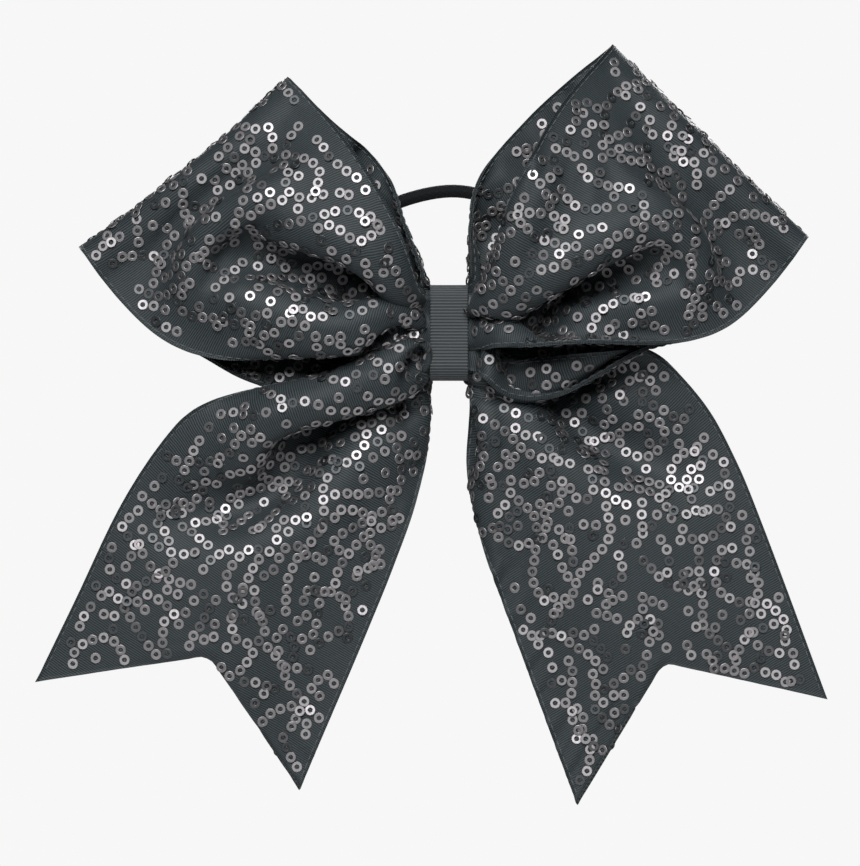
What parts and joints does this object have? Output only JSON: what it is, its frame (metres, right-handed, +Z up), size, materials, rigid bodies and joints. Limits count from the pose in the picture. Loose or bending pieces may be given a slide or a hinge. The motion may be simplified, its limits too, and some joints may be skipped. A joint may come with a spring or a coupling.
{
  "type": "cheer hair bow",
  "caption": "Large two-loop bow of double-faced sequin ribbon with swallowtail ends, a ribbed centre band and a hair tie trapped behind it.",
  "frame": {"origin": "centre of the flat back face of the centre band, where the bow rests against the hair", "axes": "+Z up as the bow is worn, +X to the viewer's right across the loops, -Y towards the viewer, so +Y points into the hair"},
  "size_m": [0.2222, 0.0649, 0.2136],
  "materials": {
    "sequin_cloth": "fine ribbed satin cloth sewn with ring sequins",
    "gathered_cloth": "the same cloth, pleated",
    "grosgrain": "matt cross-ribbed ribbon",
    "thread": "polyester sewing thread",
    "braid": "matt braided nylon",
    "rubber": "matt latex strands",
    "glue": "clear hot-melt glue",
    "sequin": "glossy metallised ring sequins"
  },
  "bodies": {
    "knot": {"centre_band": "grosgrain", "band_glue": "glue", "binding_thread": "thread", "front_gathers": "gathered_cloth", "left_tail_crossing": "gathered_cloth", "right_tail_crossing": "gathered_cloth"},
    "hair_tie": {"hair_tie_sheath": "braid", "hair_tie_core": "rubber", "hair_tie_joint": "rubber"},
    "left_loop": {"left_loop_outer_ply": "sequin_cloth", "left_loop_inner_ply": "sequin_cloth", "left_loop_upper_stitching": "thread", "left_loop_lower_stitching": "thread"},
    "right_loop": {"right_loop_outer_ply": "sequin_cloth", "right_loop_inner_ply": "sequin_cloth", "right_loop_upper_stitching": "thread", "right_loop_lower_stitching": "thread"},
    "left_tail": {"left_tail_front_ply": "sequin_cloth", "left_tail_back_ply": "sequin_cloth", "left_tail_upper_stitching": "thread", "left_tail_lower_stitching": "thread"},
    "right_tail": {"right_tail_front_ply": "sequin_cloth", "right_tail_back_ply": "sequin_cloth", "right_tail_upper_stitching": "thread", "right_tail_lower_stitching": "thread"}
  },
  "joints": [
    {"name": "hair_tie_swing", "type": "hinge", "parent": "knot", "child": "hair_tie", "pos_m": [0, -0.00473, 0], "axis": [-1, 0, 0], "range_deg": [0, 85], "stiffness_Nm_per_rad": 0.01},
    {"name": "left_loop_flex", "type": "hinge", "parent": "knot", "child": "left_loop", "pos_m": [-0.0065, -0.01125, 0], "axis": [0, 0, -1], "range_deg": [-25, 10], "stiffness_Nm_per_rad": 0.05},
    {"name": "right_loop_flex", "type": "hinge", "parent": "knot", "child": "right_loop", "pos_m": [0.0065, -0.01125, 0], "axis": [0, 0, 1], "range_deg": [-25, 10], "stiffness_Nm_per_rad": 0.05},
    {"name": "left_tail_swing", "type": "hinge", "parent": "left_loop", "child": "left_tail", "pos_m": [-0.0078, -0.01205, -0.0085], "axis": [0.9824, 0, 0.1867], "range_deg": [-20, 20], "stiffness_Nm_per_rad": 0.03},
    {"name": "right_tail_swing", "type": "hinge", "parent": "right_loop", "child": "right_tail", "pos_m": [0.0078, -0.00805, -0.012], "axis": [0.9945, 0, 0.1045], "range_deg": [-12, 10], "stiffness_Nm_per_rad": 0.03}
  ]
}
